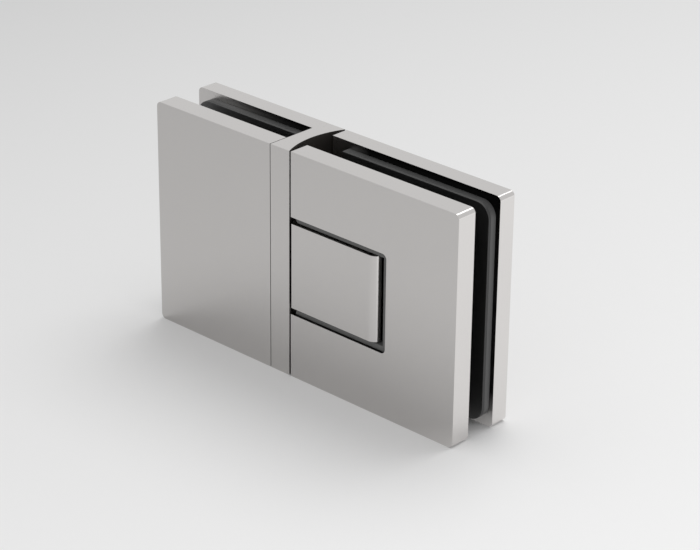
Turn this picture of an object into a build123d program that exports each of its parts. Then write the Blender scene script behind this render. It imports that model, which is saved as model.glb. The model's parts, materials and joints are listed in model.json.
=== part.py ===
from build123d import *
import os
from math import hypot, sqrt

# Glass door hinge, glass to glass, drawn closed (both panes in line). The fixed half clamps the
# side pane. Its cheek is hollowed on the swing radius and carries the knuckle, which reaches
# into a notch in the door half. A vertical pin, held above and below the knuckle by two blocks
# in the door half, turns in the knuckle, so the door swings 90 degrees to either side.
#
# Millimetres. +X runs from the fixed half to the door half, +Y from the front to the rear and
# +Z up. The origin is on the underside, below the middle of the closed hinge.

os.makedirs("parts", exist_ok=True)

# ---- Driving dimensions -------------------------------------------------------------------

LENGTH = 150.0
DEPTH = 29.0
HEIGHT = 90.0
FRONT_PLATE = 8.4
REAR_PLATE = 7.4
PLATE_CORNER_R = 2.0

SEAM_X = -15.0             # side of the cheek that meets the fixed glass
SEAM_GAP = 0.3             # shadow line between the cheek and the fixed front plate
CHEEK_TIP_X = -5.5         # thin edges of the cheek, front and rear
PIVOT_X = 24.5             # swing axis, half way between the faces
LEAF_END_X = -4.7          # end of the door plates that faces the cheek

NOTCH_END_X = 42.2         # notch in the door plates, open towards the cheek
NOTCH_H = 39.0
NOTCH_R = 2.0
KNUCKLE_END_X = 37.6
KNUCKLE_H = 33.7
KNUCKLE_R = 3.6            # rounded upright edges that pass the end of the notch
SHADOW_GAP = 1.0           # between the knuckle and the cheek, outside the seat
SEAT_H = 28.0              # raised seat where the knuckle bears on the cheek
SEAT_W = 16.0

TRIM_SETBACK = 1.1         # lining of the notch, behind the face of the plate
TRIM_DEPTH = 3.0
TRIM_WIDTH = 2.2
TRIM_START_X = -3.3
TRIM_TIP_R = 1.6

FACING = 1.2               # soft facing on each side of the glass
PACKING = 2.6              # firm spacer behind the rear facing
FIXED_LAYER_INSET = 3.6    # from the plate's outer end
DOOR_LAYER_INSET = 1.75
LAYER_RISE = 2.65          # from the plate's top and bottom
LAYER_CORNER_R = 5.9
FIXED_LAYER_END_X = -17.0
DOOR_LAYER_START_X = 3.6
CUT_OUT_X = 44.0           # facings and glass stop here beside the pin blocks
CUT_OUT_H = 73.0

SCREW_RISE = 27.0          # clamp screws above and below mid height
FIXED_SCREW_X = -44.0
BLOCK_SCREW_X = 11.0
DOOR_SCREW_X = 58.0
SCREW_R = 3.0              # M6
SCREW_CLEARANCE_R = 3.3
SCREW_L = 22.0             # under the head
HEAD_R = 5.0
HEAD_H = 3.5               # low cylinder head
HEAD_SINK = 0.15           # heads lie this far under the face
RECESS_R = 5.4
SOCKET_AF = 4.0
SOCKET_DEPTH = 2.2
TAP_DEPTH = 5.8            # threaded blind holes in the front plates
KNUCKLE_SCREW_RISE = 10.0
COLLAR_R = 5.8             # collars of the packing, which keep the screws off the glass
GLASS_HOLE_R = 6.0         # holes in the glass and its facings

PIN_R = 6.0
PIN_L = 66.0
BUSH_R = 8.0
BUSH_L = 13.95
BUSH_RISE = 2.6            # stands proud of the knuckle and carries the door's weight
BLOCK_START_X = 5.0
BLOCK_END_X = 42.0
BLOCK_H = 15.5

FLAT_DEPTH = 0.5           # detent flats on the pin
FLAT_H = 11.0
SPRING_BORE_R = 5.05
PLUNGER_R = 5.0
STEM_R = 2.5
SPRING_R = 4.9             # urethane spring on the plunger's stem
SPRING_L = 6.2

SLIP = 0.02                # assembled pieces that do not turn
RUNNING = 0.05             # pieces that turn or slide on each other

# ---- Derived places -----------------------------------------------------------------------

LEFT_X = -LENGTH / 2
RIGHT_X = LENGTH / 2
FRONT_Y = -DEPTH / 2
REAR_Y = DEPTH / 2
FRONT_INNER_Y = FRONT_Y + FRONT_PLATE
REAR_INNER_Y = REAR_Y - REAR_PLATE
SLOT_W = REAR_INNER_Y - FRONT_INNER_Y
MID_Z = HEIGHT / 2
CHEEK_R = hypot(PIVOT_X - CHEEK_TIP_X, REAR_Y)
SEAT_X = PIVOT_X - CHEEK_R
NOTCH_TOP_Z = MID_Z + NOTCH_H / 2
KNUCKLE_TOP_Z = MID_Z + KNUCKLE_H / 2
SCREW_TOP_Z = MID_Z + SCREW_RISE
PACKING_Y = REAR_INNER_Y - PACKING
FRONT_FACING_Y = FRONT_INNER_Y + FACING
RECESS_DEPTH = HEAD_H + HEAD_SINK
TAP_R = SCREW_R + SLIP
PLUNGER_TIP_X = PIVOT_X - PIN_R - 2 * RUNNING
STACK_X = SEAT_X + 0.5
PLUNGER_HEAD_X = STACK_X + SPRING_L

MID_PLANE = Plane.XY.offset(MID_Z)
TO_LEFT = (-1, 0, 0)
TO_RIGHT = (1, 0, 0)
DOWN = (0, 0, -1)
REARWARD = (0, 1, 0)

FIXED_SCREWS = [(FIXED_SCREW_X, MID_Z - SCREW_RISE), (FIXED_SCREW_X, MID_Z + SCREW_RISE)]
BLOCK_SCREWS = [(BLOCK_SCREW_X, MID_Z - SCREW_RISE), (BLOCK_SCREW_X, MID_Z + SCREW_RISE)]
DOOR_SCREWS = [(DOOR_SCREW_X, MID_Z - SCREW_RISE), (DOOR_SCREW_X, MID_Z + SCREW_RISE)]
KNUCKLE_SCREW_PLANES = [
    Plane((SEAM_X, 0, MID_Z + rise), z_dir=TO_LEFT)
    for rise in (-KNUCKLE_SCREW_RISE, KNUCKLE_SCREW_RISE)
]


def upright(y):
    """Upright plane parallel to the faces. What is extruded from it grows towards the front."""
    return Plane.XZ.offset(-y)


def rear_facing(points, y):
    """Planes that look rearward at a given y, to drill down into or to stand pieces on."""
    return [Plane((x, y, z), z_dir=REARWARD) for x, z in points]


def swing_x(radius, y):
    """X of a point that lies left of the pivot, at a radius from it and at a given y."""
    return PIVOT_X - sqrt(radius**2 - y**2)


def socket_screw_at(plane):
    """Low-head screw with a hexagon socket, its head sunk below the plane that it is driven into."""
    with BuildPart(plane.offset(-RECESS_DEPTH)) as screw:
        Cylinder(HEAD_R, HEAD_H, align=(Align.CENTER, Align.CENTER, Align.MIN))
        Cylinder(SCREW_R, SCREW_L, align=(Align.CENTER, Align.CENTER, Align.MAX))
        with BuildSketch(plane.offset(-HEAD_SINK)):
            RegularPolygon(radius=SOCKET_AF / 2, side_count=6, major_radius=False)
        extrude(amount=-SOCKET_DEPTH, mode=Mode.SUBTRACT)
    return screw.part


def door_plate_outline(y):
    """A door plate with its open notch and its rounded outer corners."""
    with BuildSketch(upright(y)) as outline:
        with Locations(((LEAF_END_X + RIGHT_X) / 2, MID_Z)):
            Rectangle(RIGHT_X - LEAF_END_X, HEIGHT)
        with Locations(((LEAF_END_X + NOTCH_END_X) / 2, MID_Z)):
            Rectangle(NOTCH_END_X - LEAF_END_X, NOTCH_H, mode=Mode.SUBTRACT)
        fillet(outline.vertices().group_by(Axis.X)[-1], PLATE_CORNER_R)
        fillet(outline.vertices().group_by(Axis.X)[1], NOTCH_R)
    return outline.sketch


def fixed_layer_outline(y, hole_r):
    """A facing or packing sheet of the fixed half, with holes for the clamp screws."""
    start_x = LEFT_X + FIXED_LAYER_INSET
    with BuildSketch(upright(y)) as outline:
        with Locations(((start_x + FIXED_LAYER_END_X) / 2, MID_Z)):
            Rectangle(FIXED_LAYER_END_X - start_x, HEIGHT - 2 * LAYER_RISE)
        fillet(outline.vertices().group_by(Axis.X)[0], LAYER_CORNER_R)
        with Locations(*FIXED_SCREWS):
            Circle(hole_r, mode=Mode.SUBTRACT)
    return outline.sketch


def door_layer_outline(y, hole_r):
    """A facing or packing sheet of the door half, cut out round the pin blocks and knuckle."""
    end_x = RIGHT_X - DOOR_LAYER_INSET
    with BuildSketch(upright(y)) as outline:
        with Locations(((DOOR_LAYER_START_X + end_x) / 2, MID_Z)):
            Rectangle(end_x - DOOR_LAYER_START_X, HEIGHT - 2 * LAYER_RISE)
        with Locations(((DOOR_LAYER_START_X + CUT_OUT_X) / 2, MID_Z)):
            Rectangle(CUT_OUT_X - DOOR_LAYER_START_X, CUT_OUT_H, mode=Mode.SUBTRACT)
        fillet(outline.vertices().group_by(Axis.X)[-1], LAYER_CORNER_R)
        with Locations(*DOOR_SCREWS):
            Circle(hole_r, mode=Mode.SUBTRACT)
    return outline.sketch


# ---- Fixed half: shells -------------------------------------------------------------------

with BuildPart() as fixed_body:
    with BuildSketch(upright(REAR_Y)) as rear_outline:
        with Locations(((LEFT_X + SEAM_X) / 2, MID_Z)):
            Rectangle(SEAM_X - LEFT_X, HEIGHT)
        fillet(rear_outline.vertices().group_by(Axis.X)[0], PLATE_CORNER_R)
    extrude(amount=REAR_PLATE)
    with BuildSketch(Plane.XY):
        with BuildLine():
            Polyline(
                (CHEEK_TIP_X, FRONT_Y),
                (SEAM_X, FRONT_Y),
                (SEAM_X, REAR_Y),
                (CHEEK_TIP_X, REAR_Y),
            )
            ThreePointArc((CHEEK_TIP_X, REAR_Y), (SEAT_X, 0), (CHEEK_TIP_X, FRONT_Y))
        make_face()
    extrude(amount=HEIGHT)
    with Locations(*rear_facing(FIXED_SCREWS, REAR_Y)):
        CounterBoreHole(SCREW_CLEARANCE_R, RECESS_R, RECESS_DEPTH)
    with Locations(*KNUCKLE_SCREW_PLANES):
        CounterBoreHole(SCREW_CLEARANCE_R, RECESS_R, RECESS_DEPTH)
fixed_body.part.label = "fixed_body"
export_step(fixed_body.part, "parts/fixed_body.step")

with BuildPart() as fixed_front_plate:
    with BuildSketch(upright(FRONT_INNER_Y)) as front_outline:
        with Locations(((LEFT_X + SEAM_X - SEAM_GAP) / 2, MID_Z)):
            Rectangle(SEAM_X - SEAM_GAP - LEFT_X, HEIGHT)
        fillet(front_outline.vertices().group_by(Axis.X)[0], PLATE_CORNER_R)
    extrude(amount=FRONT_PLATE)
    with Locations(*rear_facing(FIXED_SCREWS, FRONT_INNER_Y)):
        Hole(TAP_R, depth=TAP_DEPTH)
fixed_front_plate.part.label = "fixed_front_plate"
export_step(fixed_front_plate.part, "parts/fixed_front_plate.step")

# ---- Knuckle ------------------------------------------------------------------------------

with BuildPart() as knuckle:
    knuckle_arc_x = swing_x(CHEEK_R - SHADOW_GAP, REAR_Y)
    with BuildSketch(Plane.XY.offset(KNUCKLE_TOP_Z - KNUCKLE_H)) as knuckle_plan:
        with BuildLine():
            Polyline(
                (knuckle_arc_x, REAR_Y),
                (KNUCKLE_END_X, REAR_Y),
                (KNUCKLE_END_X, FRONT_Y),
                (knuckle_arc_x, FRONT_Y),
            )
            ThreePointArc((knuckle_arc_x, FRONT_Y), (SEAT_X + SHADOW_GAP, 0), (knuckle_arc_x, REAR_Y))
        make_face()
        fillet(knuckle_plan.vertices().group_by(Axis.X)[-1], KNUCKLE_R)
    extrude(amount=KNUCKLE_H)
    with BuildSketch(Plane.XY.offset(MID_Z - SEAT_H / 2)):
        with BuildLine():
            seat_edge_x = swing_x(CHEEK_R, SEAT_W / 2)
            Polyline(
                (seat_edge_x, SEAT_W / 2),
                (0, SEAT_W / 2),
                (0, -SEAT_W / 2),
                (seat_edge_x, -SEAT_W / 2),
            )
            ThreePointArc((seat_edge_x, -SEAT_W / 2), (SEAT_X, 0), (seat_edge_x, SEAT_W / 2))
        make_face()
    extrude(amount=SEAT_H)
    with Locations((PIVOT_X, 0, KNUCKLE_TOP_Z)):
        Hole(BUSH_R)
    with Locations(Plane((SEAT_X, 0, MID_Z), z_dir=TO_LEFT)):
        Hole(SPRING_BORE_R, depth=CHEEK_R)
    with Locations(*KNUCKLE_SCREW_PLANES):
        Hole(TAP_R, depth=RECESS_DEPTH + SCREW_L + 1)
knuckle.part.label = "knuckle"
export_step(knuckle.part, "parts/knuckle.step")

with BuildPart() as knuckle_screws:
    add([socket_screw_at(plane) for plane in KNUCKLE_SCREW_PLANES])
knuckle_screws.part.label = "knuckle_screws"
export_step(knuckle_screws.part, "parts/knuckle_screws.step")

with BuildPart() as upper_bush:
    with Locations((PIVOT_X, 0, KNUCKLE_TOP_Z + BUSH_RISE)):
        Cylinder(BUSH_R - SLIP, BUSH_L, align=(Align.CENTER, Align.CENTER, Align.MAX))
        Hole(PIN_R + RUNNING)
upper_bush.part.label = "upper_bush"
export_step(upper_bush.part, "parts/upper_bush.step")

with BuildPart() as lower_bush:
    mirror(upper_bush.part, about=MID_PLANE)
lower_bush.part.label = "lower_bush"
export_step(lower_bush.part, "parts/lower_bush.step")

# The plunger bears on flats of the pin. It is drawn pushed back, clear of the pin's full round,
# which is how it stands while the door is between two of its resting places.
with BuildPart() as detent_plunger:
    with BuildSketch(Plane.XZ):
        with BuildLine():
            Polyline(
                (STACK_X, MID_Z),
                (STACK_X, MID_Z + STEM_R),
                (PLUNGER_HEAD_X, MID_Z + STEM_R),
                (PLUNGER_HEAD_X, MID_Z + PLUNGER_R),
                (PLUNGER_TIP_X, MID_Z + PLUNGER_R),
                (PLUNGER_TIP_X, MID_Z),
                close=True,
            )
        make_face()
    revolve(axis=Axis((0, 0, MID_Z), TO_RIGHT))
detent_plunger.part.label = "detent_plunger"
export_step(detent_plunger.part, "parts/detent_plunger.step")

with BuildPart() as detent_spring:
    with Locations(Plane((STACK_X, 0, MID_Z), z_dir=TO_RIGHT)):
        Cylinder(SPRING_R, SPRING_L - SLIP, align=(Align.CENTER, Align.CENTER, Align.MIN))
    with Locations(Plane((STACK_X + SPRING_L, 0, MID_Z), z_dir=TO_RIGHT)):
        Hole(STEM_R + RUNNING)
detent_spring.part.label = "detent_spring"
export_step(detent_spring.part, "parts/detent_spring.step")

# ---- Fixed half: glass clamp --------------------------------------------------------------

with BuildPart() as fixed_front_facing:
    extrude(fixed_layer_outline(FRONT_FACING_Y, GLASS_HOLE_R), amount=FACING)
fixed_front_facing.part.label = "fixed_front_facing"
export_step(fixed_front_facing.part, "parts/fixed_front_facing.step")

with BuildPart() as fixed_rear_facing:
    extrude(fixed_layer_outline(PACKING_Y, GLASS_HOLE_R), amount=FACING)
fixed_rear_facing.part.label = "fixed_rear_facing"
export_step(fixed_rear_facing.part, "parts/fixed_rear_facing.step")

with BuildPart() as fixed_packing:
    extrude(fixed_layer_outline(REAR_INNER_Y, SCREW_CLEARANCE_R), amount=PACKING)
    with Locations(*rear_facing(FIXED_SCREWS, FRONT_INNER_Y)):
        Cylinder(COLLAR_R, SLOT_W, align=(Align.CENTER, Align.CENTER, Align.MIN))
        Hole(SCREW_CLEARANCE_R)
fixed_packing.part.label = "fixed_packing"
export_step(fixed_packing.part, "parts/fixed_packing.step")

with BuildPart() as fixed_clamp_screws:
    add([socket_screw_at(plane) for plane in rear_facing(FIXED_SCREWS, REAR_Y)])
fixed_clamp_screws.part.label = "fixed_clamp_screws"
export_step(fixed_clamp_screws.part, "parts/fixed_clamp_screws.step")

# ---- Door half: shells --------------------------------------------------------------------

with BuildPart() as door_front_plate:
    extrude(door_plate_outline(FRONT_INNER_Y), amount=FRONT_PLATE)
    with Locations(*rear_facing(BLOCK_SCREWS + DOOR_SCREWS, FRONT_INNER_Y)):
        Hole(TAP_R, depth=TAP_DEPTH)
door_front_plate.part.label = "door_front_plate"
export_step(door_front_plate.part, "parts/door_front_plate.step")

with BuildPart() as door_rear_plate:
    extrude(door_plate_outline(REAR_Y), amount=REAR_PLATE)
    with Locations(*rear_facing(BLOCK_SCREWS + DOOR_SCREWS, REAR_Y)):
        CounterBoreHole(SCREW_CLEARANCE_R, RECESS_R, RECESS_DEPTH)
door_rear_plate.part.label = "door_rear_plate"
export_step(door_rear_plate.part, "parts/door_rear_plate.step")

with BuildPart() as notch_trim_front:
    with BuildSketch(upright(FRONT_Y + TRIM_SETBACK + TRIM_DEPTH)) as trim_outline:
        with Locations(((TRIM_START_X + NOTCH_END_X) / 2, MID_Z)):
            Rectangle(NOTCH_END_X - TRIM_START_X, NOTCH_H)
        fillet(trim_outline.vertices().group_by(Axis.X)[-1], NOTCH_R)
        with Locations(((TRIM_START_X + NOTCH_END_X - TRIM_WIDTH) / 2, MID_Z)):
            Rectangle(
                NOTCH_END_X - TRIM_WIDTH - TRIM_START_X,
                NOTCH_H - 2 * TRIM_WIDTH,
                mode=Mode.SUBTRACT,
            )
        fillet(trim_outline.vertices().group_by(Axis.X)[0].sort_by(Axis.Y)[1:3], TRIM_TIP_R)
    extrude(amount=TRIM_DEPTH)
notch_trim_front.part.label = "notch_trim_front"
export_step(notch_trim_front.part, "parts/notch_trim_front.step")

with BuildPart() as notch_trim_rear:
    mirror(notch_trim_front.part, about=Plane.XZ)
notch_trim_rear.part.label = "notch_trim_rear"
export_step(notch_trim_rear.part, "parts/notch_trim_rear.step")

# ---- Door half: pin and its blocks --------------------------------------------------------

with BuildPart() as hinge_pin:
    with Locations((PIVOT_X, 0, MID_Z)):
        Cylinder(PIN_R, PIN_L)
        with PolarLocations(PIN_R, 3, start_angle=90, angular_range=180, endpoint=True):
            Box(2 * FLAT_DEPTH, 2 * PIN_R, FLAT_H, mode=Mode.SUBTRACT)
hinge_pin.part.label = "hinge_pin"
export_step(hinge_pin.part, "parts/hinge_pin.step")

with BuildPart() as upper_pin_block:
    with BuildSketch(upright(REAR_INNER_Y)):
        with Locations(((BLOCK_START_X + BLOCK_END_X) / 2, NOTCH_TOP_Z + BLOCK_H / 2)):
            Rectangle(BLOCK_END_X - BLOCK_START_X, BLOCK_H)
    extrude(amount=SLOT_W)
    with Locations(Plane((PIVOT_X, 0, NOTCH_TOP_Z), z_dir=DOWN)):
        Hole(PIN_R + SLIP, depth=MID_Z + PIN_L / 2 - NOTCH_TOP_Z + SLIP)
    with Locations(*rear_facing([(BLOCK_SCREW_X, SCREW_TOP_Z)], REAR_INNER_Y)):
        Hole(SCREW_CLEARANCE_R)
upper_pin_block.part.label = "upper_pin_block"
export_step(upper_pin_block.part, "parts/upper_pin_block.step")

with BuildPart() as lower_pin_block:
    mirror(upper_pin_block.part, about=MID_PLANE)
lower_pin_block.part.label = "lower_pin_block"
export_step(lower_pin_block.part, "parts/lower_pin_block.step")

# ---- Door half: glass clamp ---------------------------------------------------------------

with BuildPart() as door_front_facing:
    extrude(door_layer_outline(FRONT_FACING_Y, GLASS_HOLE_R), amount=FACING)
door_front_facing.part.label = "door_front_facing"
export_step(door_front_facing.part, "parts/door_front_facing.step")

with BuildPart() as door_rear_facing:
    extrude(door_layer_outline(PACKING_Y, GLASS_HOLE_R), amount=FACING)
door_rear_facing.part.label = "door_rear_facing"
export_step(door_rear_facing.part, "parts/door_rear_facing.step")

with BuildPart() as door_packing:
    extrude(door_layer_outline(REAR_INNER_Y, SCREW_CLEARANCE_R), amount=PACKING)
    with Locations(*rear_facing(DOOR_SCREWS, FRONT_INNER_Y)):
        Cylinder(COLLAR_R, SLOT_W, align=(Align.CENTER, Align.CENTER, Align.MIN))
        Hole(SCREW_CLEARANCE_R)
door_packing.part.label = "door_packing"
export_step(door_packing.part, "parts/door_packing.step")

with BuildPart() as door_clamp_screws:
    add([socket_screw_at(plane) for plane in rear_facing(BLOCK_SCREWS + DOOR_SCREWS, REAR_Y)])
door_clamp_screws.part.label = "door_clamp_screws"
export_step(door_clamp_screws.part, "parts/door_clamp_screws.step")
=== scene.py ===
import json
from math import cos, hypot, pi, radians, sin, tau

import bmesh
import bpy
from bpy.props import (
    FloatProperty,
    FloatVectorProperty,
    IntProperty,
    PointerProperty,
)
from mathutils import Matrix, Vector

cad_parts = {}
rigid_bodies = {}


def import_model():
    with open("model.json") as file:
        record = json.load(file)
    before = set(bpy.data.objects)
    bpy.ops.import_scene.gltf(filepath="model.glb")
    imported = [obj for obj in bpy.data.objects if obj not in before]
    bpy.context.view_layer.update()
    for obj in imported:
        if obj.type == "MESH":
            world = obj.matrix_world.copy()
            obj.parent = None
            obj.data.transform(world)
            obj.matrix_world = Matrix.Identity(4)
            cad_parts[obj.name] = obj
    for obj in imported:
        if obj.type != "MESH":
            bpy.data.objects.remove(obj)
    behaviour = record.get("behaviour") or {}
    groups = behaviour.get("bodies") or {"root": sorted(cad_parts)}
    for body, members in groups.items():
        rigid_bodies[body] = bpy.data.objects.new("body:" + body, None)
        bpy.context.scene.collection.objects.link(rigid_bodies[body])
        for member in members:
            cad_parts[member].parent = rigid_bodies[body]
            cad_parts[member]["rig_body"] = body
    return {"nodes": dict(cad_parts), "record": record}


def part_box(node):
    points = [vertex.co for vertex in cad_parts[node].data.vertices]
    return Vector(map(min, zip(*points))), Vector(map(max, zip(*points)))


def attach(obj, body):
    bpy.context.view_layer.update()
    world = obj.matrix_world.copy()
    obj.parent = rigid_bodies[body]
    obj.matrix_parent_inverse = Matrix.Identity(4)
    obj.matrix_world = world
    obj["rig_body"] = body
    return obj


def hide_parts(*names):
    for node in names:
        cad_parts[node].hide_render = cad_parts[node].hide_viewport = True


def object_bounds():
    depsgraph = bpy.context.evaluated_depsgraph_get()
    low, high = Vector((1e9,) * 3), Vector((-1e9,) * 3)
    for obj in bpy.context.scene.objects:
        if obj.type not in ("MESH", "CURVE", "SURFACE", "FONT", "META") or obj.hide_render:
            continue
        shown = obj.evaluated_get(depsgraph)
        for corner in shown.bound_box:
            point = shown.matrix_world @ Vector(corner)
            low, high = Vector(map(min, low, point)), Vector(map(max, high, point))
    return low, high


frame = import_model()
CAD_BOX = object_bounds()

bl_info = {
    "name": "Glass door hinge",
    "version": (1, 0, 0),
    "blender": (4, 5, 0),
    "location": "3D View > Sidebar > Hinge",
    "description": "Dresses the packed glass door hinge: plated plates, screws, sheets and stage",
    "category": "Add Mesh",
}

MM = 0.001
EDGE = 0.1 * MM
NODES = frame["nodes"]
PIVOT = Vector(frame["record"]["behaviour"]["joints"][0]["pos_m"])

PLATED_NODES = ("fixed_body", "fixed_front_plate", "knuckle", "door_front_plate", "door_rear_plate")
FACING_NODES = ("fixed_front_facing", "fixed_rear_facing", "door_front_facing", "door_rear_facing")
PACKING_NODES = ("fixed_packing", "door_packing")
TRIM_NODES = ("notch_trim_front", "notch_trim_rear")
STEEL_NODES = ("hinge_pin", "detent_plunger")
BUSH_NODES = ("upper_bush", "lower_bush")
BLOCK_NODES = ("upper_pin_block", "lower_pin_block")
REARWARD = Vector((0, 1, 0))
TOWARDS_SIDE_PANE = Vector((-1, 0, 0))
SCREW_NODES = {
    "fixed_clamp_screws": REARWARD,
    "knuckle_screws": TOWARDS_SIDE_PANE,
    "door_clamp_screws": REARWARD,
}


# ---- Settings -----------------------------------------------------------------------------


class PlatingSettings(bpy.types.PropertyGroup):
    """Satin-polished plating of the clamp plates, the cheek and the knuckle."""

    color: FloatVectorProperty(
        name="Plating colour", description="Reflected colour of the plated metal",
        subtype="COLOR", min=0, max=1, default=(0.57, 0.555, 0.545),
    )
    roughness: FloatProperty(
        name="Roughness", description="Mean roughness of the polished faces",
        subtype="FACTOR", min=0, max=1, default=0.16,
    )
    grain: FloatProperty(
        name="Grain", description="How much the polishing grain varies the roughness",
        subtype="FACTOR", min=0, max=1, default=0.035,
    )
    # Painted shade: the clamping faces deep in the slots and the walls of the notch round the linings
    # take this dark colour in place of the plating.
    painted_shade_color: FloatVectorProperty(
        name="Inside colour", description="Reflected colour of the unplated faces that clamp the glass",
        subtype="COLOR", min=0, max=1, default=(0.02, 0.02, 0.02),
    )
    inside_roughness: FloatProperty(
        name="Inside roughness", description="Roughness of the faces that clamp the glass",
        subtype="FACTOR", min=0, max=1, default=0.28,
    )
    # Painted shade: the cheek's hollow takes this dark brownish colour in place of the plating.
    painted_hollow_shade_color: FloatVectorProperty(
        name="Hollow colour", description="Reflected colour of the hollow of the cheek",
        subtype="COLOR", min=0, max=1, default=(0.075, 0.068, 0.062),
    )
    hollow_roughness: FloatProperty(
        name="Hollow roughness", description="Roughness of the turned hollow of the cheek",
        subtype="FACTOR", min=0, max=1, default=0.6,
    )
    # The hollow's painted shade fades out over this length towards the cheek's tips.
    tip_fade: FloatProperty(
        name="Fade at the tips", description="Length over which the plating thins out into the hollow",
        subtype="DISTANCE", unit="LENGTH", min=0.1 * MM, default=1.5 * MM,
    )
    # The five lengths below place that painted shade. The clamping faces keep the plating colour near
    # the fixed slot's open end, near the foot and beside the cheek, which paints the light that comes
    # in there.
    end_reach: FloatProperty(
        name="Reach from the end", description="How far the plating runs in from the fixed slot's end",
        subtype="DISTANCE", unit="LENGTH", min=0, default=18 * MM,
    )
    foot_reach: FloatProperty(
        name="Reach from below", description="How far the plating runs up into the slots from below",
        subtype="DISTANCE", unit="LENGTH", min=0, default=4 * MM,
    )
    end_fade: FloatProperty(
        name="Fade from the end", description="Length over which the plating thins out along a slot",
        subtype="DISTANCE", unit="LENGTH", min=0.1 * MM, default=45 * MM,
    )
    cheek_fade: FloatProperty(
        name="Fade from the cheek", description="How far a little plating runs into the door slot",
        subtype="DISTANCE", unit="LENGTH", min=0.1 * MM, default=18 * MM,
    )
    foot_fade: FloatProperty(
        name="Fade from below", description="Length over which the plating thins out up a slot",
        subtype="DISTANCE", unit="LENGTH", min=0.1 * MM, default=10 * MM,
    )


class SheetSettings(bpy.types.PropertyGroup):
    """Facings, packing and notch lining."""

    edge: FloatProperty(
        name="Edge radius", description="Rounding of the edges of the sheets",
        subtype="DISTANCE", unit="LENGTH", min=0, default=0.15 * MM,
    )
    trim_edge: FloatProperty(
        name="Lining edge radius", description="Rounding of the edges of the notch lining",
        subtype="DISTANCE", unit="LENGTH", min=0, default=0.3 * MM,
    )
    facing_color: FloatVectorProperty(
        name="Facing colour", description="Colour of the skin of the rubber facings",
        subtype="COLOR", min=0, max=1, default=(0.008, 0.008, 0.008),
    )
    cut_color: FloatVectorProperty(
        name="Cut edge colour", description="Colour of the rubber where a facing was cut",
        subtype="COLOR", min=0, max=1, default=(0.008, 0.008, 0.008),
    )
    packing_color: FloatVectorProperty(
        name="Packing colour", description="Colour of the packing sheets on their glass side",
        subtype="COLOR", min=0, max=1, default=(0.025, 0.025, 0.025),
    )
    backing_color: FloatVectorProperty(
        name="Backing colour", description="Colour of the packing sheets away from the glass",
        subtype="COLOR", min=0, max=1, default=(0.15, 0.15, 0.15),
    )
    backing_depth: FloatProperty(
        name="Backing depth", description="Share of the packing's thickness that its glass side takes",
        min=0, max=1, default=0.5,
    )
    trim_color: FloatVectorProperty(
        name="Lining colour", description="Colour of the lining of the notch",
        subtype="COLOR", min=0, max=1, default=(0.1, 0.1, 0.098),
    )


class ScrewSettings(bpy.types.PropertyGroup):
    """Low-head socket screws."""

    rim: FloatProperty(
        name="Rim radius", description="Rounding of the head's rim",
        subtype="DISTANCE", unit="LENGTH", min=0, default=0.45 * MM,
    )
    head_height: FloatProperty(
        name="Head height", description="Height of the low cylinder head",
        subtype="DISTANCE", unit="LENGTH", min=0, default=3.5 * MM,
    )
    shank_radius: FloatProperty(
        name="Shank radius", description="Outer radius of the thread",
        subtype="DISTANCE", unit="LENGTH", min=0, default=2.98 * MM,
    )
    socket_width: FloatProperty(
        name="Socket width", description="Width across the flats of the hexagon socket",
        subtype="DISTANCE", unit="LENGTH", min=0, default=4 * MM,
    )
    socket_depth: FloatProperty(
        name="Socket depth", description="Depth of the hexagon socket",
        subtype="DISTANCE", unit="LENGTH", min=0, default=2.2 * MM,
    )
    pitch: FloatProperty(
        name="Thread pitch", description="Rise of the thread in one turn",
        subtype="DISTANCE", unit="LENGTH", min=0, default=1 * MM,
    )
    seed: IntProperty(
        name="Seed", description="Chooses how far each screw is turned", min=0, default=4,
    )


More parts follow.
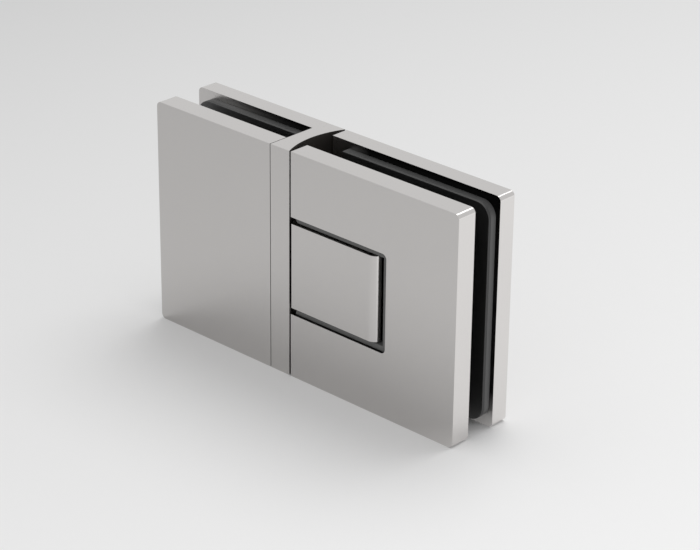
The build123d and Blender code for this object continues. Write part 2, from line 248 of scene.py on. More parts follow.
class StageSettings(bpy.types.PropertyGroup):
    """Camera, floor and light."""

    azimuth: FloatProperty(
        name="Camera azimuth", description="Direction of view about the upright axis",
        subtype="ANGLE", unit="ROTATION", default=radians(43.1516),
    )
    elevation: FloatProperty(
        name="Camera elevation", description="Height of the camera above the horizon",
        subtype="ANGLE", unit="ROTATION", default=radians(25.2505),
    )
    roll: FloatProperty(
        name="Camera roll", description="Turn of the camera about its line of sight",
        subtype="ANGLE", unit="ROTATION", default=radians(0.62777),
    )
    distance: FloatProperty(
        name="Camera distance", description="Distance from the camera to its aim",
        subtype="DISTANCE", unit="LENGTH", min=0, default=0.9117,
    )
    aim: FloatVectorProperty(
        name="Aim", description="Point at the middle of the view",
        subtype="TRANSLATION", unit="LENGTH", default=(0.01127, 0, 0.04178),
    )
    lens: FloatProperty(
        name="Lens", description="Focal length of the camera", subtype="DISTANCE_CAMERA",
        unit="CAMERA", min=1, default=128.68,
    )
    # Painted light: near_floor and far_floor are the ends of a gradient in the floor's colour. It
    # paints the uneven light on the floor, paler along floor_azimuth.
    near_floor: FloatVectorProperty(
        name="Near floor", description="Colour of the floor at the viewer's side",
        subtype="COLOR", min=0, max=1, default=(0.953, 0.953, 0.953),
    )
    far_floor: FloatVectorProperty(
        name="Far floor", description="Colour of the floor at the far side",
        subtype="COLOR", min=0, max=1, default=(0.542, 0.542, 0.542),
    )
    floor_azimuth: FloatProperty(
        name="Floor azimuth", description="Direction in which the floor grows paler",
        subtype="ANGLE", unit="ROTATION", default=radians(80),
    )
    floor_span: FloatProperty(
        name="Floor span", description="Distance over which the floor grows paler",
        subtype="DISTANCE", unit="LENGTH", min=0.01, default=0.9,
    )
    # Painted light: the right-hand floor glows with this strength, seen only where metal mirrors it.
    painted_floor_glow: FloatProperty(
        name="Floor glow", description="Light of the right-hand floor where metal mirrors it",
        min=0, default=0.27,
    )
    sky: FloatProperty(
        name="Surround light", description="Strength of the even light from all round",
        min=0, default=0.722,
    )
    sky_seen: FloatProperty(
        name="Surround brightness", description="Brightness of the surround where metal mirrors it",
        min=0, default=0.9,
    )
    key_power: FloatProperty(
        name="Key light", description="Radiant power of the soft light behind the hinge",
        subtype="POWER", unit="POWER", min=0, default=16,
    )
    key_size: FloatProperty(
        name="Key light size", description="Diameter of the round soft light",
        subtype="DISTANCE", unit="LENGTH", min=0, default=1.6,
    )
    key_azimuth: FloatProperty(
        name="Key light azimuth", description="Direction of the soft light from the hinge",
        subtype="ANGLE", unit="ROTATION", default=radians(185),
    )
    key_elevation: FloatProperty(
        name="Key light elevation", description="Height of the soft light above the horizon",
        subtype="ANGLE", unit="ROTATION", default=radians(65),
    )
    key_distance: FloatProperty(
        name="Key light distance", description="Distance of the soft light from the hinge",
        subtype="DISTANCE", unit="LENGTH", min=0, default=2.2,
    )


class HingeSettings(bpy.types.PropertyGroup):
    """All that can be set on the hinge and its stage."""

    plating: PointerProperty(type=PlatingSettings)
    sheets: PointerProperty(type=SheetSettings)
    screws: PointerProperty(type=ScrewSettings)
    stage: PointerProperty(type=StageSettings)


# ---- Shader maths -------------------------------------------------------------------------


class Value:
    """A number that varies over a surface. Arithmetic on it adds Math nodes to its graph."""

    def __init__(self, graph, socket):
        self.graph = graph
        self.socket = socket

    def math(self, operation, *others, clamp=False):
        settings = {"operation": operation, "use_clamp": clamp}
        return self.graph.node("ShaderNodeMath", settings, [self, *others])

    def __add__(self, other):
        return self.math("ADD", other)

    __radd__ = __add__

    def __mul__(self, other):
        return self.math("MULTIPLY", other)

    __rmul__ = __mul__

    def __sub__(self, other):
        return self.math("SUBTRACT", other)

    def __rsub__(self, other):
        return self.graph.node("ShaderNodeMath", {"operation": "SUBTRACT"}, [other, self])

    def __truediv__(self, other):
        return self.math("DIVIDE", other)

    def __pow__(self, other):
        return self.math("POWER", other)

    def __abs__(self):
        return self.math("ABSOLUTE")

    def __gt__(self, other):
        return self.math("GREATER_THAN", other)

    def __lt__(self, other):
        return self.math("LESS_THAN", other)

    def clamped(self):
        return self.math("MULTIPLY", 1.0, clamp=True)


class Graph:
    """The nodes of one material or world, added by short calls."""

    def __init__(self, tree):
        self.tree = tree
        tree.nodes.clear()

    def node(self, kind, settings=None, inputs=(), output=0):
        """Adds a node, sets it up, fills or links its inputs and gives one of its outputs."""
        node = self.tree.nodes.new(kind)
        for name, setting in (settings or {}).items():
            setattr(node, name, setting)
        pairs = inputs.items() if isinstance(inputs, dict) else enumerate(inputs)
        for key, given in pairs:
            if isinstance(given, Value):
                self.tree.links.new(given.socket, node.inputs[key])
            elif given is not None:
                node.inputs[key].default_value = given
        return Value(self, node.outputs[output]) if node.outputs else None

    def axes(self, output="Object"):
        """The X, Y and Z of the place or the normal of each point, in the object's own space."""
        spot = self.node("ShaderNodeTexCoord", output=output)
        return [self.node("ShaderNodeSeparateXYZ", inputs=[spot], output=axis) for axis in "XYZ"]

    def place(self, scale=(1, 1, 1)):
        """Object coordinates in millimetres, stretched by a scale along each axis."""
        here = self.node("ShaderNodeTexCoord", output="Object")
        per_mm = [s / MM for s in scale]
        return self.node("ShaderNodeMapping", inputs={"Vector": here, "Scale": per_mm})

    def noise(self, where, scale, detail=2.0, roughness=0.5):
        """Smooth noise from 0 to 1 with a mean of a half."""
        inputs = {"Vector": where, "Scale": scale, "Detail": detail, "Roughness": roughness}
        return self.node("ShaderNodeTexNoise", inputs=inputs)

    def blend(self, share, first, second):
        """A colour that goes from the first to the second."""
        inputs = {0: share, 6: first, 7: second}
        return self.node("ShaderNodeMix", {"data_type": "RGBA"}, inputs, output=2)

    def bump(self, height, strength, distance):
        """A normal that follows a height in units of the distance."""
        inputs = {"Strength": strength, "Distance": distance, "Height": height}
        return self.node("ShaderNodeBump", inputs=inputs)


def shade(color, factor=1.0):
    """A linear colour times a factor, with full alpha."""
    return [part * factor for part in color[:3]] + [1.0]


BLACK = shade((0, 0, 0))
WHITE = shade((1, 1, 1))


def new_material(name, dress):
    """A Principled material. The dress function gives the inputs of its shader."""
    material = bpy.data.materials.new(name)
    material.use_nodes = True
    graph = Graph(material.node_tree)
    surface = graph.node("ShaderNodeBsdfPrincipled", inputs=dress(graph))
    graph.node("ShaderNodeOutputMaterial", inputs={"Surface": surface})
    return material


def wear(node, material):
    """Puts a material on a CAD node in place of its plain one."""
    node.data.materials.clear()
    node.data.materials.append(material)


# ---- Finishes -----------------------------------------------------------------------------

Y, Z = 1, 2
SQUARE_ON = 0.9      # a face looks along an axis where the share of its normal is above this
EDGE_ON = 0.5        # and runs along it where the share is below this
CUT_EDGE = 0.7       # the same for the edges of the rubber, with their rounding
UPRIGHT = 0.1        # and for a face that has to be quite upright
LAYER_BLEND = 0.4    # share of the packing's thickness in which its two layers merge
LAYER_WAVER = 0.1    # how much the place where they merge wavers
TOP_PAINTED_SHADE = 0.5   # how much painted shade darkens the packing on top


def facing(graph, axis):
    """How squarely each face looks along an axis, from 0 to 1."""
    return abs(graph.axes("Normal")[axis])


def mottled(graph, share, color, spread):
    """A colour that varies with a noise by the same share up and down."""
    return graph.blend(share, shade(color, 1 - spread), shade(color, 1 + spread))


def clamping(graph):
    """1 on the faces of the plates that clamp the glass, and 0 on all others."""
    y = graph.axes()[Y]
    flat = facing(graph, Y) > SQUARE_ON
    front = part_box("door_front_plate")[1].y - EDGE / 2
    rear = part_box("door_rear_plate")[0].y + EDGE / 2
    return flat * (y > front) * (y < rear)


def painted_slot_shade(graph, settings):
    """0 near the open end and the foot of the slots and beside the cheek, rising to 1 deep in the
    slots: the share of painted shade on the clamping faces.
    """
    x, _, z = graph.axes()
    start = CAD_BOX[0].x + settings.end_reach
    end_share = (1 - (x - start) / settings.end_fade).clamped() ** 3
    foot_share = (1 - (z - settings.foot_reach) / settings.foot_fade).clamped()
    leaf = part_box("door_front_plate")[0].x
    cheek_share = (1 - (x - leaf) / settings.cheek_fade).clamped() * (x > leaf - MM)
    return (1 - end_share) * (1 - foot_share) * (1 - cheek_share)


def notch_wall(graph):
    """1 on the walls of the notch in the door plates, round the linings, and 0 on all others."""
    across = facing(graph, Y) < EDGE_ON
    low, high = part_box("notch_trim_front")
    inner_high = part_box("knuckle")[1]
    x, _, z = graph.axes()
    middle = (low.z + high.z) / 2
    rise = abs(z - middle)
    in_notch = (rise < (high.z - low.z) / 2 + EDGE) * (x > low.x) * (x < high.x + EDGE)
    past_knuckle = (rise > inner_high.z - middle + EDGE).math("MAXIMUM", x > inner_high.x + EDGE)
    return across * in_notch * past_knuckle


def hollow(graph, settings):
    """1 on the hollow that the cheek has on the swing radius, and 0 at its tips and elsewhere."""
    x, y, _ = graph.axes()
    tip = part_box("fixed_body")[1]
    radius = hypot(PIVOT.x - tip.x, tip.y)
    reach = ((x - PIVOT.x) ** 2 + (y - PIVOT.y) ** 2) ** 0.5
    near = abs(reach - radius) < EDGE
    upright = facing(graph, Z) < UPRIGHT
    behind_tip = ((tip.y - abs(y)) / settings.tip_fade).clamped()
    return near * upright * (x < tip.x + EDGE) * behind_tip


def satin_plating(settings):
    """Polished and plated metal with a very fine grain, with painted shade on the clamping faces deep
    in the slots, on the notch walls round the linings and in the cheek's hollow.
    """

    def dress(graph):
        clouds = graph.noise(graph.place(), 0.03, detail=3.0)
        grain = graph.noise(graph.place((0.15, 2, 2)), 2.0, detail=4.0, roughness=0.6)
        plated = mottled(graph, clouds, settings.color, 0.015)
        inside = clamping(graph)
        # Painted shade: the clamping faces deep in the slots and the notch walls round the linings are
        # given the dark painted shade colour.
        painted_shade_share = (inside * painted_slot_shade(graph, settings)).math("MAXIMUM", notch_wall(graph))
        # Painted shade: this mask of the cheek's hollow gives it a dark brownish colour and its own
        # roughness.
        turned = hollow(graph, settings)
        polish = settings.roughness + (grain - 0.5) * settings.grain
        clamp_polish = inside * (settings.inside_roughness - settings.roughness)
        turned_polish = turned * (settings.hollow_roughness - settings.roughness)
        outside = graph.blend(turned, plated, shade(settings.painted_hollow_shade_color))
        return {
            "Base Color": graph.blend(painted_shade_share, outside, shade(settings.painted_shade_color)),
            "Metallic": 1.0,
            "Roughness": polish + clamp_polish + turned_polish,
            "Normal": graph.bump(grain, 0.04, 0.01 * MM),
        }

    return new_material("satin_plating", dress)


def rubber(settings):
    """Black sheet rubber: a smooth skin with a fine moulded grain, and matt cut edges."""

    def dress(graph):
        grain = graph.noise(graph.place(), 3.0, detail=3.0)
        dust = graph.noise(graph.place(), 0.12, detail=3.0)
        cut = facing(graph, Y) < CUT_EDGE
        skin = mottled(graph, dust, settings.facing_color, 0.2)
        return {
            "Base Color": graph.blend(cut, skin, shade(settings.cut_color)),
            "Roughness": 0.38 + dust * 0.08 + cut * 0.3,
            "Specular IOR Level": 1.0,
            "Normal": graph.bump(grain, 0.3, 0.03 * MM),
        }

    return new_material("facing_rubber", dress)


def packing_plastic(settings):
    """Smooth dark sheet plastic in two layers, faintly ribbed where it was cut, with painted shade on
    top.
    """

    def dress(graph):
        cloud = graph.noise(graph.place(), 0.1, detail=3.0)
        ribs = graph.noise(graph.place((1, 0.1, 1)), 2.5, detail=2.0)
        low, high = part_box("door_packing")
        depth = (graph.axes()[Y] - low.y) / (high.y - low.y)
        backing = ((depth - settings.backing_depth) / LAYER_BLEND + cloud * LAYER_WAVER).clamped()
        sheet = graph.blend(backing, shade(settings.packing_color), shade(settings.backing_color))
        # Painted shade: the packing's upward faces are blended towards black.
        unshaded_share = 1 - facing(graph, Z) * TOP_PAINTED_SHADE
        return {
            "Base Color": graph.blend(unshaded_share, BLACK, sheet),
            "Roughness": 0.18 + cloud * 0.06,
            "Specular IOR Level": 0.12,
            "Normal": graph.bump(ribs, 0.15, 0.02 * MM),
        }

    return new_material("packing_plastic", dress)


def trim_plastic(settings):
    """Dark grey moulded lining with a spark-eroded texture."""

    def dress(graph):
        sparks = graph.noise(graph.place(), 4.0, detail=2.0)
        cloud = graph.noise(graph.place(), 0.2, detail=2.0)
        return {
            "Base Color": mottled(graph, cloud, settings.trim_color, 0.08),
            "Roughness": 0.42 + sparks * 0.12,
            "Normal": graph.bump(sparks, 0.2, 0.01 * MM),
        }

    return new_material("trim_plastic", dress)


def turned_steel():
    """Bright stainless steel with turning marks round each screw's axis."""

    def dress(graph):
        radius = graph.node("ShaderNodeAttribute", {"attribute_name": "turning_radius"}, output="Fac")
        marks = (radius / (0.11 * MM)).math("SINE") * 0.5 + 0.5
        smudge = graph.noise(graph.place(), 0.4, detail=3.0)
        return {
            "Base Color": graph.blend(smudge, shade((0.5, 0.495, 0.485)), shade((0.58, 0.575, 0.565))),
            "Metallic": 1.0,
            "Roughness": 0.22 + smudge * 0.1 + marks * 0.04,
            "Normal": graph.bump(marks, 0.25, 0.01 * MM),
        }

    return new_material("turned_steel", dress)


def ground_steel():
    """Hardened steel, ground round: fine lines across the axis."""

    def dress(graph):
        lines = graph.noise(graph.place((0.3, 0.3, 6)), 2.0, detail=3.0)
        return {
            "Base Color": graph.blend(lines, shade((0.37, 0.37, 0.38)), shade((0.46, 0.46, 0.465))),
            "Metallic": 1.0,
            "Roughness": 0.24 + lines * 0.14,
            "Normal": graph.bump(lines, 0.2, 0.01 * MM),
        }

    return new_material("ground_steel", dress)


def blackened_steel():
    """Blackened steel with shallow milling marks."""

    def dress(graph):
        turns = graph.node(
            "ShaderNodeTexWave", {"wave_type": "RINGS", "rings_direction": "SPHERICAL"},
            {"Vector": graph.place(), "Scale": 0.35, "Distortion": 1.2, "Detail": 2.0},
            output="Fac",
        )
        stain = graph.noise(graph.place(), 0.12, detail=3.0)
        return {
            "Base Color": graph.blend(stain, shade((0.02, 0.02, 0.022)), shade((0.04, 0.039, 0.038))),
            "Metallic": 0.6,
            "Roughness": 0.36 + stain * 0.12,
            "Normal": graph.bump(turns, 0.15, 0.02 * MM),
        }

    return new_material("blackened_steel", dress)


def acetal():
    """Natural white bearing plastic, turned."""

    def dress(graph):
        marks = graph.noise(graph.place((0.2, 0.2, 5)), 2.0, detail=2.0)
        return {
            "Base Color": graph.blend(marks, shade((0.72, 0.7, 0.64)), shade((0.78, 0.76, 0.71))),
            "Roughness": 0.36 + marks * 0.1,
            "Normal": graph.bump(marks, 0.1, 0.01 * MM),
        }

    return new_material("acetal", dress)


def urethane():
    """Amber spring urethane with a slight bloom."""

    def dress(graph):
        bloom = graph.noise(graph.place(), 0.4, detail=3.0)
        return {
            "Base Color": graph.blend(bloom, shade((0.45, 0.24, 0.05)), shade((0.55, 0.34, 0.1))),
            "Roughness": 0.3 + bloom * 0.2,
            "Coat Weight": 0.2,
        }

    return new_material("urethane", dress)


# ---- Mesh helpers -------------------------------------------------------------------------


def merged_copy(node):
    """A closed bmesh of a CAD node, with its loose triangles joined."""
    solid = bmesh.new()
    solid.from_mesh(NODES[node].data)
    bmesh.ops.remove_doubles(solid, verts=solid.verts, dist=0.001 * MM)
    return solid


def islands(node):
    """The lowest and highest corner of each separate solid of a CAD node."""
    solid = merged_copy(node)
    left = set(solid.verts)
    found = []
    while left:
        reached = {left.pop()}
        edge = list(reached)
        while edge:
            near = {e.other_vert(v) for v in edge for e in v.link_edges} - reached
            reached |= near
            edge = list(near)
        left -= reached
        spots = [v.co for v in reached]
        low = Vector(min(s[i] for s in spots) for i in range(3))
        high = Vector(max(s[i] for s in spots) for i in range(3))
        found.append((low, high))
    solid.free()
    return sorted(found, key=lambda corners: tuple(corners[0]))


def new_piece(name, solid, material, smooth_angle=radians(35)):
    """An object from a bmesh, smooth except at its sharp edges."""
    mesh = bpy.data.meshes.new(name)
    solid.to_mesh(mesh)
    solid.free()
    mesh.materials.append(material)
    mesh.shade_smooth()
    mesh.set_sharp_from_angle(angle=smooth_angle)
    piece = bpy.data.objects.new(name, mesh)
    bpy.context.scene.collection.objects.link(piece)
    return piece


def evaluated(piece):
    """Turns what the modifiers of a piece make into its plain mesh."""
    bpy.context.view_layer.update()
    seen = piece.evaluated_get(bpy.context.evaluated_depsgraph_get())
    mesh = bpy.data.meshes.new_from_object(seen)
    piece.modifiers.clear()
    old = piece.data
    piece.data = mesh
    bpy.data.meshes.remove(old)
    mesh.name = piece.name


def softened(node, material, radius):
    """A CAD solid with its edges rounded, in place of the sharp one."""
    solid = merged_copy(node)
    bmesh.ops.dissolve_limit(
        solid, angle_limit=radians(0.5), verts=solid.verts, edges=solid.edges,
        use_dissolve_boundaries=False,
    )
    piece = new_piece(node + "_soft", solid, material)
    bevel = piece.modifiers.new("edges", "BEVEL")
    bevel.width = radius
    bevel.segments = 2
    bevel.limit_method = "ANGLE"
    bevel.angle_limit = radians(40)
    bevel.use_clamp_overlap = True
    bevel.harden_normals = True
    evaluated(piece)
    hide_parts(node)
    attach(piece, NODES[node]["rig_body"])


# ---- Screws -------------------------------------------------------------------------------

SCREW_SIDES = 48
THREAD_ROWS = 4           # rings in one turn of the thread
RIM_ROWS = 4              # rings in the rounding of the head
TOOTH = 0.54              # depth of the thread in pitches
NECK = 0.4                # length of the plain neck in pitches
SEAT_BREAK = 0.25 * MM    # how far the edge under the head is broken inwards
SEAT_RISE = 0.2 * MM      # and upwards
SOCKET_MOUTH = 0.62       # radius of the socket's countersink in socket widths
SOCKET_BREAK = 0.3 * MM   # depth of that countersink
SOCKET_FLOOR = 0.47       # radius of the socket's flat floor in socket widths
DRILL_POINT = 0.5 * MM    # depth of the drill's cone below that floor


def hexagon_reach(angle, width):
    """Distance from the axis to a hexagon socket's wall, in a direction."""
    sixth = pi / 3
    return width / 2 / cos((angle + sixth / 2) % sixth - sixth / 2)


def screw_rings(settings, head_radius, shank_length):
    """Rings of the screw from tip to socket: height, and radius as a function of the angle."""
    head = settings.head_height
    rim = settings.rim
    shank = settings.shank_radius
    width = settings.socket_width
    pitch = settings.pitch
    tooth = TOOTH * pitch
    tip = -head - shank_length

    def round_ring(radius):
        return lambda angle: radius

    def hexagon_ring(angle):
        return hexagon_reach(angle, width)

    def thread_ring(height):
        def reach(angle):
            turn = (height / pitch + angle / tau) % 1.0
            return shank - tooth * abs(2 * turn - 1)
        return reach

    rings = [(tip, round_ring(shank - tooth))]
    step = pitch / THREAD_ROWS
    heights = [tip + (row + 1) * step for row in range(int((shank_length - pitch) / step))]
    rings += [(height, thread_ring(height)) for height in heights]
    rings += [
        (-head - NECK * pitch, round_ring(shank)),
        (-head, round_ring(shank)),
        (-head, round_ring(head_radius - SEAT_BREAK)),
        (-head + SEAT_RISE, round_ring(head_radius)),
        (-rim, round_ring(head_radius)),
    ]
    for row in range(1, RIM_ROWS + 1):
        turn = row / RIM_ROWS * pi / 2
        rings.append((-rim + rim * sin(turn), round_ring(head_radius - rim + rim * cos(turn))))
    rings += [
        (0, round_ring(SOCKET_MOUTH * width)),
        (-SOCKET_BREAK, hexagon_ring),
        (-settings.socket_depth, hexagon_ring),
        (-settings.socket_depth, round_ring(SOCKET_FLOOR * width)),
    ]
    return rings


def new_screw(settings, head_radius, shank_length, material):
    """One socket screw, with its head's face at the origin and its shank pointing down."""
    solid = bmesh.new()
    rings = screw_rings(settings, head_radius, shank_length)
    loops = []
    for height, reach in rings:
        loop = []
        for side in range(SCREW_SIDES):
            angle = tau * side / SCREW_SIDES
            radius = reach(angle)
            loop.append(solid.verts.new((radius * cos(angle), radius * sin(angle), height)))
        loops.append(loop)
    for lower, upper in zip(loops, loops[1:]):
        for side in range(SCREW_SIDES):
            after = (side + 1) % SCREW_SIDES
            solid.faces.new((lower[side], lower[after], upper[after], upper[side]))
    tip = solid.verts.new((0, 0, rings[0][0]))
    drill_point = solid.verts.new((0, 0, rings[-1][0] - DRILL_POINT))
    for side in range(SCREW_SIDES):
        after = (side + 1) % SCREW_SIDES
        solid.faces.new((tip, loops[0][after], loops[0][side]))
        solid.faces.new((drill_point, loops[-1][side], loops[-1][after]))
    bmesh.ops.recalc_face_normals(solid, faces=solid.faces)
    screw = new_piece("screw_pattern", solid, material, smooth_angle=radians(30))
    turning = screw.data.attributes.new("turning_radius", "FLOAT", "POINT")
    turning.data.foreach_set("value", [v.co.xy.length for v in screw.data.vertices])
    return screw


def screw_setter():
    """Geometry Nodes that set a screw on each point, each turned its own way."""
    tree = bpy.data.node_groups.new("set_screws", "GeometryNodeTree")
    sockets = {}
    for name, kind in (
        ("Geometry", "NodeSocketGeometry"),
        ("Screw", "NodeSocketObject"),
        ("Head direction", "NodeSocketVector"),
        ("Seed", "NodeSocketInt"),
        ("Material", "NodeSocketMaterial"),
    ):
        sockets[name] = tree.interface.new_socket(name, in_out="INPUT", socket_type=kind).identifier
    tree.interface.new_socket("Geometry", in_out="OUTPUT", socket_type="NodeSocketGeometry")
    nodes = tree.nodes
    link = tree.links.new
    given = nodes.new("NodeGroupInput")
    out = nodes.new("NodeGroupOutput")
    pattern = nodes.new("GeometryNodeObjectInfo")
    aim = nodes.new("FunctionNodeAlignRotationToVector")
    aim.axis = "Z"
    turn = nodes.new("FunctionNodeRandomValue")
    turn.data_type = "FLOAT"
    turn.inputs[3].default_value = tau
    spin = nodes.new("FunctionNodeAxisAngleToRotation")
    spin.inputs["Axis"].default_value = (0, 0, 1)
    both = nodes.new("FunctionNodeRotateRotation")
    both.rotation_space = "LOCAL"
    put = nodes.new("GeometryNodeInstanceOnPoints")
    real = nodes.new("GeometryNodeRealizeInstances")
    paint = nodes.new("GeometryNodeSetMaterial")
    link(given.outputs["Screw"], pattern.inputs["Object"])
    link(given.outputs["Head direction"], aim.inputs["Vector"])
    link(given.outputs["Seed"], turn.inputs["Seed"])
    link(turn.outputs[1], spin.inputs["Angle"])
    link(aim.outputs[0], both.inputs[0])
    link(spin.outputs[0], both.inputs[1])
    link(given.outputs["Geometry"], put.inputs["Points"])
    link(pattern.outputs["Geometry"], put.inputs["Instance"])
    link(both.outputs[0], put.inputs["Rotation"])
    link(put.outputs[0], real.inputs[0])
    link(real.outputs[0], paint.inputs["Geometry"])
    link(given.outputs["Material"], paint.inputs["Material"])
    link(paint.outputs[0], out.inputs[0])
    return tree, sockets


def set_screws(node, direction, pattern, tree, sockets, seed, material):
    """Screws in place of a CAD node's: one at the head of each of its solids."""
    spots = bpy.data.meshes.new(node + "_spots")
    heads = []
    for low, high in islands(node):
        middle = (low + high) / 2
        reach = (high - low) / 2
        heads.append(middle + direction * abs(reach.dot(direction)))
    spots.from_pydata(heads, [], [])
    piece = bpy.data.objects.new(node + "_threaded", spots)
    bpy.context.scene.collection.objects.link(piece)
    setter = piece.modifiers.new("screws", "NODES")
    setter.node_group = tree
    setter[sockets["Screw"]] = pattern
    setter[sockets["Head direction"]] = direction
    setter[sockets["Seed"]] = seed
    setter[sockets["Material"]] = material
    evaluated(piece)
    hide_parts(node)
    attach(piece, NODES[node]["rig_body"])


# ---- Operators ----------------------------------------------------------------------------


class HINGE_OT_plating(bpy.types.Operator):
    """Plate the clamp plates, the cheek and the knuckle"""

    bl_idname = "hinge.plating"
    bl_label = "Plated metal"

    def execute(self, context):
        material = satin_plating(context.scene.hinge.plating)
        for node in PLATED_NODES:
            wear(NODES[node], material)
        return {"FINISHED"}


class HINGE_OT_sheets(bpy.types.Operator):
    """Make the rubber facings and the packing, with softened edges"""

    bl_idname = "hinge.sheets"
    bl_label = "Facings and packing"

    def execute(self, context):
        settings = context.scene.hinge.sheets
        black = rubber(settings)
        dark = packing_plastic(settings)
        for node in FACING_NODES:
            softened(node, black, settings.edge)
        for node in PACKING_NODES:
            softened(node, dark, settings.edge)
        return {"FINISHED"}


class HINGE_OT_trims(bpy.types.Operator):
    """Make the linings of the notch, front and rear"""

    bl_idname = "hinge.trims"
    bl_label = "Notch linings"

    def execute(self, context):
        settings = context.scene.hinge.sheets
        grey = trim_plastic(settings)
        for node in TRIM_NODES:
            softened(node, grey, settings.trim_edge)
        return {"FINISHED"}


class HINGE_OT_screws(bpy.types.Operator):
    """Set a threaded socket screw at each screw's place"""

    bl_idname = "hinge.screws"
    bl_label = "Socket screws"

    def execute(self, context):
        settings = context.scene.hinge.screws
        material = turned_steel()
        low, high = islands("fixed_clamp_screws")[0]
        head_radius = (high.x - low.x) / 2
        shank_length = high.y - low.y - settings.head_height
        pattern = new_screw(settings, head_radius, shank_length, material)
        tree, sockets = screw_setter()
        for node, direction in SCREW_NODES.items():
            set_screws(node, direction, pattern, tree, sockets, settings.seed, material)
        bpy.data.objects.remove(pattern)
        return {"FINISHED"}


class HINGE_OT_bearing(bpy.types.Operator):
    """Finish the pin, its blocks and bushes, and the detent"""

    bl_idname = "hinge.bearing"
    bl_label = "Pin, bushes and detent"

    def execute(self, context):
        steel = ground_steel()
        plastic = acetal()
        black = blackened_steel()
        for node in STEEL_NODES:
            wear(NODES[node], steel)
        for node in BUSH_NODES:
            wear(NODES[node], plastic)
        for node in BLOCK_NODES:
            wear(NODES[node], black)
        wear(NODES["detent_spring"], urethane())
        return {"FINISHED"}


class HINGE_OT_stage(bpy.types.Operator):
    """Set the floor, the surround, the key light and the camera"""

    bl_idname = "hinge.stage"
    bl_label = "Stage"

    def execute(self, context):
        settings = context.scene.hinge.stage
        lay_floor(settings)
        light_surround(context.scene, settings)
        hang_key_light(settings)
        set_camera(context.scene, settings)
        context.scene.view_settings.view_transform = "Standard"
        return {"FINISHED"}


# ---- Stage --------------------------------------------------------------------------------

FLOOR_HALF = 4.0      # half the floor's width in metres
NEAR_SHARE = 0.7      # how near to the paler colour the floor is under the hinge
PAINTED_GLOW_START = 0.035    # where the mirrored floor's painted glow begins, in metres of X plus Y
PAINTED_GLOW_SPAN = 0.05      # and how far on it is at its brightest


def direction_to(azimuth, elevation):
    """Unit vector from the hinge, where azimuth 0 is towards the viewer at the front."""
    level = cos(elevation)
    return Vector((sin(azimuth) * level, -cos(azimuth) * level, sin(elevation)))


def lay_floor(settings):
    """A wide pale floor under the hinge. A painted light gradient makes it paler at the viewer's side,
    and a painted glow makes it brighter in the metal.
    """

    def dress(graph):
        x, y, _ = graph.axes()
        towards = direction_to(settings.floor_azimuth, 0)
        # Painted light: the floor's colour grows paler along floor_azimuth.
        near = ((x * towards.x + y * towards.y) / settings.floor_span + NEAR_SHARE).clamped()
        mirrored = graph.node("ShaderNodeLightPath", output="Is Glossy Ray")
        right = ((x + y - PAINTED_GLOW_START) / PAINTED_GLOW_SPAN).clamped()
        return {
            "Base Color": graph.blend(near, shade(settings.far_floor), shade(settings.near_floor)),
            "Roughness": 1.0,
            "Specular IOR Level": 0.0,
            # Painted light: the right-hand floor glows, but only for rays that metal mirrors.
            "Emission Color": graph.blend(right * mirrored, BLACK, WHITE),
            "Emission Strength": settings.painted_floor_glow,
        }

    floor = bmesh.new()
    corners = ((-1, -1), (1, -1), (1, 1), (-1, 1))
    floor.faces.new([floor.verts.new((x * FLOOR_HALF, y * FLOOR_HALF, 0)) for x, y in corners])
    piece = new_piece("floor", floor, new_material("floor", dress))


def light_surround(scene, settings):
    """Even light from all round, brighter where metal mirrors it."""
    world = bpy.data.worlds.new("surround")
    scene.world = world
    world.use_nodes = True
    graph = Graph(world.node_tree)
    mirrored = graph.node("ShaderNodeLightPath", output="Is Glossy Ray")
    strength = settings.sky + mirrored * (settings.sky_seen - settings.sky)
    light = graph.node("ShaderNodeBackground", inputs={"Color": WHITE, "Strength": strength})
    graph.node("ShaderNodeOutputWorld", inputs={"Surface": light})


def hang_key_light(settings):
    """A round soft light, high behind the hinge."""
    light = bpy.data.lights.new("key", "AREA")
    light.shape = "DISK"
    light.size = settings.key_size
    light.energy = settings.key_power
    key = bpy.data.objects.new("key", light)
    towards = direction_to(settings.key_azimuth, settings.key_elevation)
    key.location = towards * settings.key_distance
    key.rotation_euler = towards.to_track_quat("Z", "Y").to_euler()
    bpy.context.scene.collection.objects.link(key)


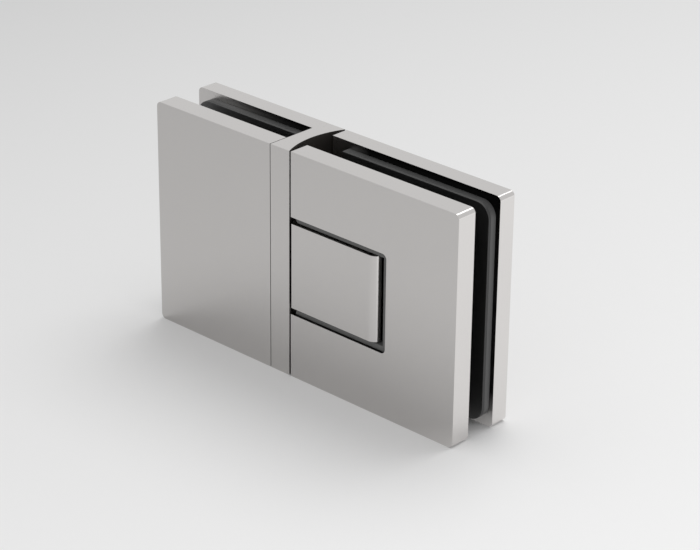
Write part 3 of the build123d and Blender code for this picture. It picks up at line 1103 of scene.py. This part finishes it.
def set_camera(scene, settings):
    """A long lens from the front right, above the hinge."""
    back = direction_to(settings.azimuth, settings.elevation)
    level = Vector((cos(settings.azimuth), sin(settings.azimuth), 0))
    up = back.cross(level)
    right = level * cos(settings.roll) + up * sin(settings.roll)
    top = up * cos(settings.roll) - level * sin(settings.roll)
    turn = Matrix((right, top, back)).transposed().to_4x4()
    data = bpy.data.cameras.new("camera")
    data.lens = settings.lens
    data.clip_start = 10 * MM
    camera = bpy.data.objects.new("camera", data)
    camera.matrix_world = Matrix.Translation(Vector(settings.aim) + back * settings.distance) @ turn
    scene.collection.objects.link(camera)
    scene.camera = camera


# ---- Panel and registration ---------------------------------------------------------------

GROUPS = (
    ("plating", "hinge.plating"),
    ("sheets", "hinge.sheets"),
    ("sheets", "hinge.trims"),
    ("screws", "hinge.screws"),
    (None, "hinge.bearing"),
    ("stage", "hinge.stage"),
)


class HINGE_PT_panel(bpy.types.Panel):
    """Lists the steps that dress the hinge, and their settings"""

    bl_idname = "HINGE_PT_panel"
    bl_label = "Glass door hinge"
    bl_space_type = "VIEW_3D"
    bl_region_type = "UI"
    bl_category = "Hinge"

    def draw(self, context):
        shown = set()
        for group, operator in GROUPS:
            box = self.layout.box()
            box.operator(operator)
            if group and group not in shown:
                shown.add(group)
                settings = getattr(context.scene.hinge, group)
                for name in settings.__annotations__:
                    box.prop(settings, name)


CLASSES = (
    PlatingSettings,
    SheetSettings,
    ScrewSettings,
    StageSettings,
    HingeSettings,
    HINGE_OT_plating,
    HINGE_OT_sheets,
    HINGE_OT_trims,
    HINGE_OT_screws,
    HINGE_OT_bearing,
    HINGE_OT_stage,
    HINGE_PT_panel,
)


def register():
    for cls in CLASSES:
        bpy.utils.register_class(cls)
    bpy.types.Scene.hinge = PointerProperty(type=HingeSettings)


def unregister():
    del bpy.types.Scene.hinge
    for cls in reversed(CLASSES):
        bpy.utils.unregister_class(cls)


def main():
    """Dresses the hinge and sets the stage."""
    register()
    bpy.ops.hinge.plating()
    bpy.ops.hinge.sheets()
    bpy.ops.hinge.trims()
    bpy.ops.hinge.screws()
    bpy.ops.hinge.bearing()
    bpy.ops.hinge.stage()


if __name__ == "__main__":
    main()
